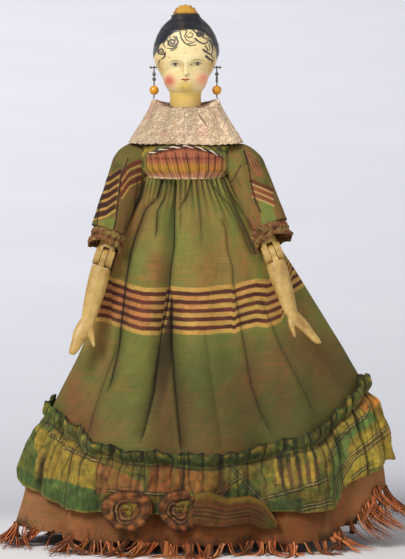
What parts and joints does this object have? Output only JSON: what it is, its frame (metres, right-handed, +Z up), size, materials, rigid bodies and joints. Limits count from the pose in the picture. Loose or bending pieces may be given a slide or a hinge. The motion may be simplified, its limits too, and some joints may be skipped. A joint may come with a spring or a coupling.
{
  "type": "peg wooden doll",
  "caption": "Standing wooden doll with pegged shoulder, elbow, hip and knee joints, hanging earrings, lace collar and a wide high-waisted dress of layered silk.",
  "frame": {"origin": "on the floor, midway between the feet, in the plane of the petticoat's hem", "axes": "+Z up, -Y the way the face looks, +X towards the doll's left hand"},
  "size_m": [0.1933, 0.1116, 0.2749],
  "materials": {
    "painted_wood": "gesso and oil paint under varnish, worn",
    "comb_wood": "painted golden yellow, satin",
    "bare_wood": "bare whittled softwood",
    "brass_wire": "thin drawn wire, tarnished",
    "glass_bead": "small clear and dark beads",
    "amber_bead": "polished amber-coloured bead",
    "lace": "stiffened off-white lace",
    "bodice_silk": "gathered shot silk",
    "cord": "two-coloured twisted cord",
    "striped_silk": "striped shot silk",
    "olive_silk": "olive shot silk with dark stripes",
    "flounce_silk": "green and ochre printed silk",
    "salmon_silk": "rolled salmon silk",
    "terracotta_silk": "terracotta silk with a worn, fringed hem"
  },
  "bodies": {
    "torso": {"head_and_torso": "painted_wood", "tuck_comb": "comb_wood", "shoulder_dowel": "bare_wood", "hip_dowel": "bare_wood", "left_ear_pin": "brass_wire", "right_ear_pin": "brass_wire", "lace_collar": "lace", "bodice": "bodice_silk", "bodice_cord": "cord", "skirt": "olive_silk", "flounce": "flounce_silk", "outer_rosette": "salmon_silk", "inner_rosette": "salmon_silk", "ribbon_streamer": "striped_silk", "petticoat": "terracotta_silk"},
    "left_upper_arm": {"left_upper_arm": "painted_wood", "left_elbow_peg": "bare_wood", "left_sleeve": "striped_silk", "left_cuff": "striped_silk"},
    "left_forearm": {"left_forearm": "painted_wood"},
    "left_thigh": {"left_thigh": "painted_wood", "left_knee_peg": "bare_wood"},
    "left_lower_leg": {"left_lower_leg": "painted_wood"},
    "left_earring": {"left_earring_wire": "brass_wire", "left_glass_beads": "glass_bead", "left_amber_bead": "amber_bead"},
    "right_upper_arm": {"right_upper_arm": "painted_wood", "right_elbow_peg": "bare_wood", "right_sleeve": "striped_silk", "right_cuff": "striped_silk"},
    "right_forearm": {"right_forearm": "painted_wood"},
    "right_thigh": {"right_thigh": "painted_wood", "right_knee_peg": "bare_wood"},
    "right_lower_leg": {"right_lower_leg": "painted_wood"},
    "right_earring": {"right_earring_wire": "brass_wire", "right_glass_beads": "glass_bead", "right_amber_bead": "amber_bead"}
  },
  "joints": [
    {"name": "left_shoulder", "type": "hinge", "parent": "torso", "child": "left_upper_arm", "pos_m": [0.0245, 0, 0.197], "axis": [-1, 0, 0], "range_deg": [0, 68]},
    {"name": "left_elbow", "type": "hinge", "parent": "left_upper_arm", "child": "left_forearm", "pos_m": [0.04402, -0.01785, 0.1505], "axis": [-0.9311, -0.1308, -0.3406], "range_deg": [0, 90]},
    {"name": "left_hip", "type": "hinge", "parent": "torso", "child": "left_thigh", "pos_m": [0.008, 0, 0.127], "axis": [-1, 0, 0], "range_deg": [-10, 10]},
    {"name": "left_knee", "type": "hinge", "parent": "left_thigh", "child": "left_lower_leg", "pos_m": [0.008, 0, 0.066], "axis": [1, 0, 0], "range_deg": [0, 32]},
    {"name": "left_earring_swing", "type": "hinge", "parent": "torso", "child": "left_earring", "pos_m": [0.0159, 0.00107, 0.2431], "axis": [1, 0, 0], "range_deg": [-50, 50]},
    {"name": "right_shoulder", "type": "hinge", "parent": "torso", "child": "right_upper_arm", "pos_m": [-0.0245, 0, 0.197], "axis": [-1, 0, 0], "range_deg": [0, 68]},
    {"name": "right_elbow", "type": "hinge", "parent": "right_upper_arm", "child": "right_forearm", "pos_m": [-0.0413, -0.01229, 0.14771], "axis": [-0.9494, 0.076, 0.3047], "range_deg": [0, 90]},
    {"name": "right_hip", "type": "hinge", "parent": "torso", "child": "right_thigh", "pos_m": [-0.008, 0, 0.127], "axis": [-1, 0, 0], "range_deg": [-10, 10]},
    {"name": "right_knee", "type": "hinge", "parent": "right_thigh", "child": "right_lower_leg", "pos_m": [-0.008, 0, 0.066], "axis": [1, 0, 0], "range_deg": [0, 32]},
    {"name": "right_earring_swing", "type": "hinge", "parent": "torso", "child": "right_earring", "pos_m": [-0.0159, 0.00107, 0.2431], "axis": [1, 0, 0], "range_deg": [-50, 50]}
  ]
}
